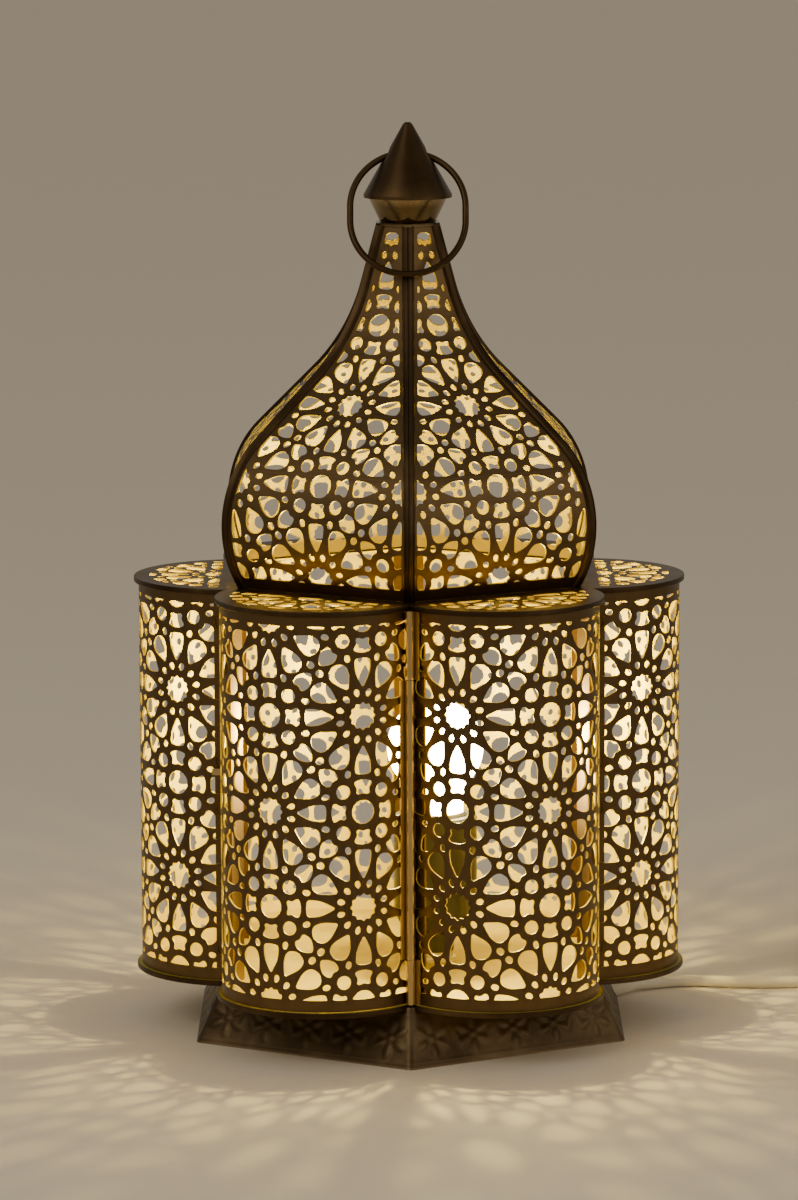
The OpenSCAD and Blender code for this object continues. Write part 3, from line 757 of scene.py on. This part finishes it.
def make_rib(name, azimuth, node):
    """A folded strip over the fold between two panels, with rolled edges."""
    thick, half = RIB_THICK, RIB_W / 2
    # half of the strip's outline: how far from the fold, and how far above the panel
    section = [
        (half, 0.05), (half, thick - 0.4), (half - 0.35, thick), (half - 0.85, thick),
        (half - 1.25, thick - 0.4), (0.3, thick - 0.4), (0.0, thick - 0.3), (0.0, 0.05),
    ]
    points, rows = [], []
    for run in np.linspace(0, FACE_RUN[-1], RIB_ROWS):
        x, z, nx, nz = along_face(run)
        row = []
        for side, profile in ((1, section), (-1, section[1:-2][::-1] + section[:1])):
            for across, above in profile:
                out = x + nx * above
                face = np.array([[out, -side * (out * TAN30 - across), z + nz * above]])
                row.append(len(points))
                points.append(turn(face, azimuth + side * 30)[0])
        rows.append(row)
    faces = []
    ring = len(rows[0])
    for a, b in zip(rows, rows[1:]):
        faces += [[a[k], a[(k + 1) % ring], b[(k + 1) % ring], b[k]] for k in range(ring)]
    faces += [rows[0][::-1], rows[-1]]
    rib = mesh_object(name, points, faces, SHADED_ANTIQUE_BRASS)
    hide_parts(node)


# ---- bulb ----

BULB_NECK = [(13.0, 97.7), (13.05, 100.0), (13.35, 103.5), (14.1, 107.6)]
BALL_ANGLES = np.linspace(-48, 89.9, 28)  # degrees above the ball's middle, to just short of its top


def lathe(name, profile, material, x=0.0, steps=64):
    """A profile of (radius, height) points turned about the upright line at x."""
    points = []
    for r, z in profile:
        for k in range(steps):
            px, py = polar(r, 360 * k / steps)
            points.append((x + px, py, z))
    return mesh_object(name, points, band_faces(steps, len(profile), closed=False), material)


def make_bulb():
    ball = [(BULB_R * math.cos(a), BULB_Z + BULB_R * math.sin(a)) for a in np.radians(BALL_ANGLES)]
    bulb = lathe("lit_bulb", BULB_NECK + ball, GLASS, x=LAMP_X)
    bulb.visible_shadow = False  # the light inside it shines out
    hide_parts("bulb_glass")


# ---- stage and lights ----

FLOOR_HALF = 30.0  # metres
FLOOR_COLOUR, STUDIO_COLOUR, STUDIO_STRENGTH = (0.8, 0.72, 0.6), (1.0, 0.91, 0.76), 0.36
LIGHT_AIM = (0, 0, 0.2)


def make_stage():
    floor_mat = material("floor", Roughness=0.7)
    shader_of(floor_mat).inputs["Base Color"].default_value = (*FLOOR_COLOUR, 1)
    mesh = bpy.data.meshes.new("floor")
    corners = [(x * FLOOR_HALF, y * FLOOR_HALF, 0) for x, y in ((-1, -1), (1, -1), (1, 1), (-1, 1))]
    mesh.from_pydata(corners, [], [(0, 1, 2, 3)])
    mesh.materials.append(floor_mat)
    floor = link(bpy.data.objects.new("floor", mesh))
    world = bpy.data.worlds.new("world")
    bpy.context.scene.world = world
    world.use_nodes = True
    background = world.node_tree.nodes["Background"]
    background.inputs["Color"].default_value = (*STUDIO_COLOUR, 1)
    background.inputs["Strength"].default_value = STUDIO_STRENGTH


def area_light(name, at, size, power, colour):
    data = bpy.data.lights.new(name, "AREA")
    data.shape = "SQUARE"
    data.size = size
    data.energy = power
    data.color = colour
    light = link(bpy.data.objects.new(name, data))
    light.location = at
    light.rotation_euler = (Vector(LIGHT_AIM) - Vector(at)).to_track_quat("-Z", "Y").to_euler()


def make_lights():
    area_light("key", (-1.6, -1.8, 2.0), 1.4, 16, (1.0, 0.92, 0.8))
    area_light("fill", (2.0, -1.4, 1.2), 1.6, 7, (1.0, 0.9, 0.78))
    bulb = bpy.data.lights.new("bulb", "POINT")
    bulb.energy = 2.4
    bulb.color = (1.0, 0.78, 0.2)
    bulb.shadow_soft_size = 0.005
    glow = link(bpy.data.objects.new("bulb", bulb))
    glow.location = Vector((LAMP_X, 0, BULB_Z)) * MM


def dress(materials):
    """Gives CAD nodes that stay their finished material."""
    for mat, names in materials:
        for name in names:
            slots = NODES[name].data.materials
            for i in range(len(slots)):
                slots[i] = mat


# ---- making it all ----

make_camera()
make_lead()
FIXED_LOBES = [("front_right", 300), ("right", 0), ("rear_right", 60), ("rear_left", 120), ("left", 180)]
DOOR_AZIMUTH = 240
for name, azimuth in FIXED_LOBES:
    make_lobe("pierced_lobe_" + name, azimuth, WALL_LOW, WALL_HIGH, "lobe_" + name)
make_lobe("pierced_door", DOOR_AZIMUTH, DOOR_LOW, DOOR_HIGH, "door_panel", body="door")
for name, azimuth in FIXED_LOBES + [("front_left", DOOR_AZIMUTH)]:
    make_dome_panel("pierced_dome_" + name, azimuth, "dome_" + name)
for name, azimuth in (
    ("front", 270), ("front_right", 330), ("rear_right", 30),
    ("rear", 90), ("rear_left", 150), ("front_left", 210),
):
    make_rib("dome_rib_" + name, azimuth, "rib_" + name)
make_top_plate()
make_bottom_plate()
make_base()
make_bulb()
dress([
    # Seams, finial, ring and cover take the outer brass, darkened with painted shade.
    (SHADED_ANTIQUE_BRASS, [n for n in NODES if n.startswith("seam_")] + ["finial_cone", "ring_handle", "base_cover"]),
    (BRIGHT, ["neck_collar"]),
    # The hinge parts take the lighter brass copy, a painted highlight.
    (HIGHLIT_HINGE_BRASS, ["door_knuckle", "hinge_knuckles", "door_latch"]),
    (STEEL, ["cover_brackets", "cover_screws", "hinge_pin", "threaded_tube", "lock_nuts", "tube_washer",
             "clamp_screws", "plug_pins", "bulb_cap"]),
    (BLACK, ["lampholder_cap", "lampholder_body", "cord_clamp", "cord_tie", "switch_rocker"]),
    (CREAM, ["switch_housing", "plug_body"]),
    (SHEATH, ["cord_grommet", "lead_inside"]),
    (PORCELAIN, ["lampholder_insert"]),
    (BLUE, ["lead_cores"]),
    (FILAMENT, ["bulb_filament"]),
])
make_stage()
make_lights()
